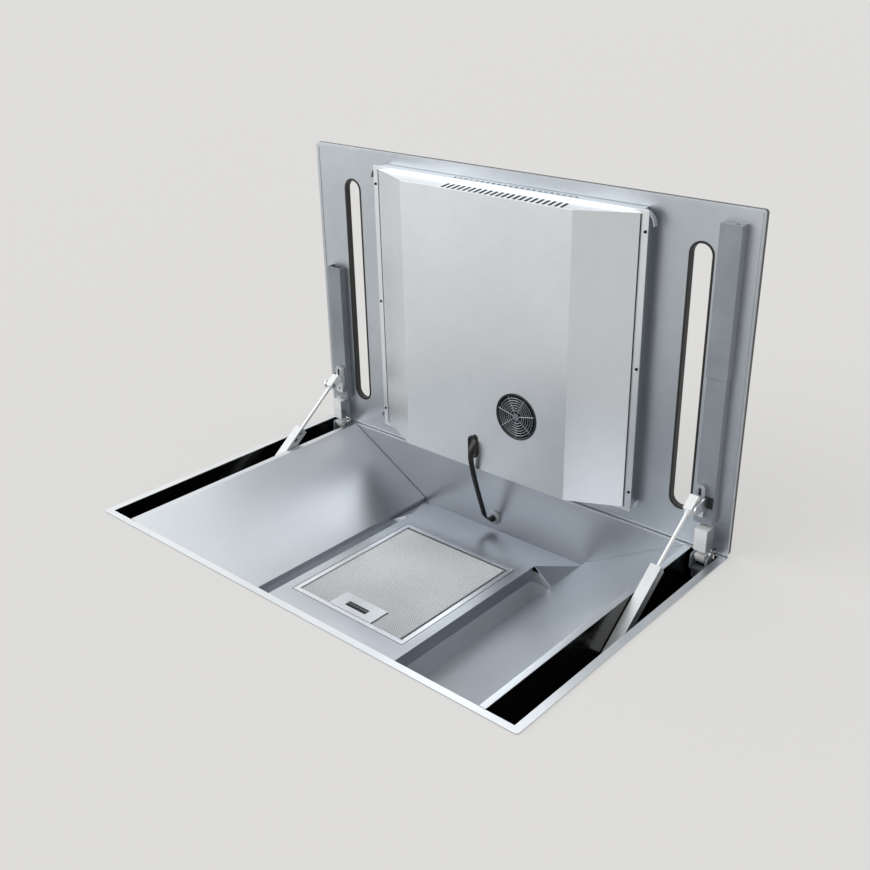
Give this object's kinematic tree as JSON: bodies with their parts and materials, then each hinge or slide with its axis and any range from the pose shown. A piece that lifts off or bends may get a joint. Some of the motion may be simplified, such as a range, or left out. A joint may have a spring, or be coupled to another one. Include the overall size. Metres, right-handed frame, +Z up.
{
  "type": "downdraft induction cooktop",
  "caption": "Built-in induction cooktop with a downdraft hood: glass lid raised on struts over a steel basin with sloped air guides and a grease filter.",
  "frame": {"origin": "centre of the underside of the steel rim, where it lies on the worktop", "axes": "+X to the right seen from the front, +Y to the back, +Z up"},
  "size_m": [0.83, 0.5455, 0.7187],
  "materials": {
    "satin_steel": "satin",
    "brushed_steel": "brushed",
    "galvanised": "matt zinc",
    "pale_steel": "glossy satin",
    "black_paint": "semi-gloss",
    "grey_metal": "satin",
    "bright_metal": "bright",
    "aluminium_panel": "matt",
    "aluminium": "satin",
    "black_glass": "gloss",
    "black_rubber": "matt",
    "black_plastic": "matt",
    "white_plastic": "matt",
    "grey_plastic": "matt",
    "copper": "wound",
    "ferrite": "matt",
    "board_green": "satin",
    "cast_grey": "matt"
  },
  "bodies": {
    "hob_body": {"rim_frame": "satin_steel", "basin_tub": "brushed_steel", "basin_floor": "brushed_steel", "gutter_troughs": "brushed_steel", "left_guide_panel": "pale_steel", "right_guide_panel": "pale_steel", "pocket_walls": "black_paint", "pocket_floors": "black_paint", "pocket_ends": "black_paint", "casing_base": "galvanised", "casing_sides": "galvanised", "casing_ends": "galvanised", "blower_box": "galvanised", "blower_scroll": "grey_plastic", "inlet_plenum": "galvanised", "blower_motor": "cast_grey", "outlet_duct": "grey_plastic", "terminal_box": "galvanised", "cable_gland": "black_plastic", "blower_control_board": "board_green", "mounting_clips": "grey_metal", "wall_grommet": "grey_plastic", "lid_cable": "black_rubber", "left_hinge_base": "grey_metal", "right_hinge_base": "grey_metal", "hinge_pins": "bright_metal", "strut_brackets": "grey_metal"},
    "lid": {"glass_top": "black_glass", "lid_carrier": "aluminium_panel", "left_slot_liner": "satin_steel", "right_slot_liner": "satin_steel", "lid_seal": "black_rubber", "coil_tray": "satin_steel", "casing_cover": "satin_steel", "casing_screws": "grey_metal", "coil_plate": "aluminium", "induction_coils": "copper", "ferrite_bars": "ferrite", "power_boards": "board_green", "heat_sink": "aluminium", "touch_control_board": "board_green", "cooling_fan_frame": "black_plastic", "fan_grille": "black_plastic", "cable_clamp": "white_plastic", "left_rail": "grey_metal", "right_rail": "grey_metal", "right_rail_sleeve": "grey_metal", "left_strut_mount": "bright_metal", "right_strut_mount": "bright_metal", "hinge_arms": "white_plastic"},
    "left_rod": {"left_strut_rod": "bright_metal"},
    "right_rod": {"right_strut_rod": "bright_metal"},
    "left_tube": {"left_strut_tube": "bright_metal"},
    "right_tube": {"right_strut_tube": "bright_metal"},
    "grease_filter": {"filter_frame": "aluminium", "filter_mesh": "aluminium", "latch_plate": "pale_steel"},
    "filter_latch": {"latch_slider": "bright_metal"},
    "cooling_fan": {"cooling_fan_rotor": "black_plastic"},
    "blower_impeller": {"blower_wheel": "white_plastic"}
  },
  "joints": [
    {"name": "lid_hinge", "type": "hinge", "parent": "hob_body", "child": "lid", "pos_m": [0, 0.2565, 0.0039], "axis": [1, 0, 0], "range_deg": [0, 88.5], "deforming": ["lid_cable"]},
    {"name": "left_strut_pivot", "type": "hinge", "parent": "lid", "child": "left_rod", "pos_m": [-0.369, 0.20898, 0.08798], "axis": [1, 0, 0], "range_deg": [-119.79, 0]},
    {"name": "left_strut_slide", "type": "slide", "parent": "left_rod", "child": "left_tube", "axis": [0, 0.7944, 0.6074], "range_m": [0, 0.08626]},
    {"name": "right_strut_pivot", "type": "hinge", "parent": "lid", "child": "right_rod", "pos_m": [0.369, 0.20898, 0.08798], "axis": [1, 0, 0], "range_deg": [-119.79, 0]},
    {"name": "right_strut_slide", "type": "slide", "parent": "right_rod", "child": "right_tube", "axis": [0, 0.7944, 0.6074], "range_m": [0, 0.08626]},
    {"name": "filter_lift", "type": "slide", "parent": "hob_body", "child": "grease_filter", "axis": [0, 0, 1], "range_m": [0, 0.018]},
    {"name": "latch_slide", "type": "slide", "parent": "grease_filter", "child": "filter_latch", "axis": [0, 1, 0], "range_m": [0, 0.003], "stiffness_N_per_m": 200, "springref_m": -0.001},
    {"name": "cooling_fan_spin", "type": "hinge", "parent": "lid", "child": "cooling_fan", "pos_m": [0.0695, 0.19767, 0.15341], "axis": [0, 0.9997, 0.0262], "continuous": true},
    {"name": "blower_spin", "type": "hinge", "parent": "hob_body", "child": "blower_impeller", "pos_m": [0, -0.015, -0.15], "axis": [0, 0, 1], "continuous": true}
  ],
  "couplings": [
    {"joint": "left_strut_pivot", "follows": "lid_hinge", "ratio": -1.3534},
    {"joint": "left_strut_slide", "follows": "lid_hinge", "m_per_rad": 0.055839},
    {"joint": "right_strut_pivot", "follows": "lid_hinge", "ratio": -1.3534},
    {"joint": "right_strut_slide", "follows": "lid_hinge", "m_per_rad": 0.055839}
  ]
}
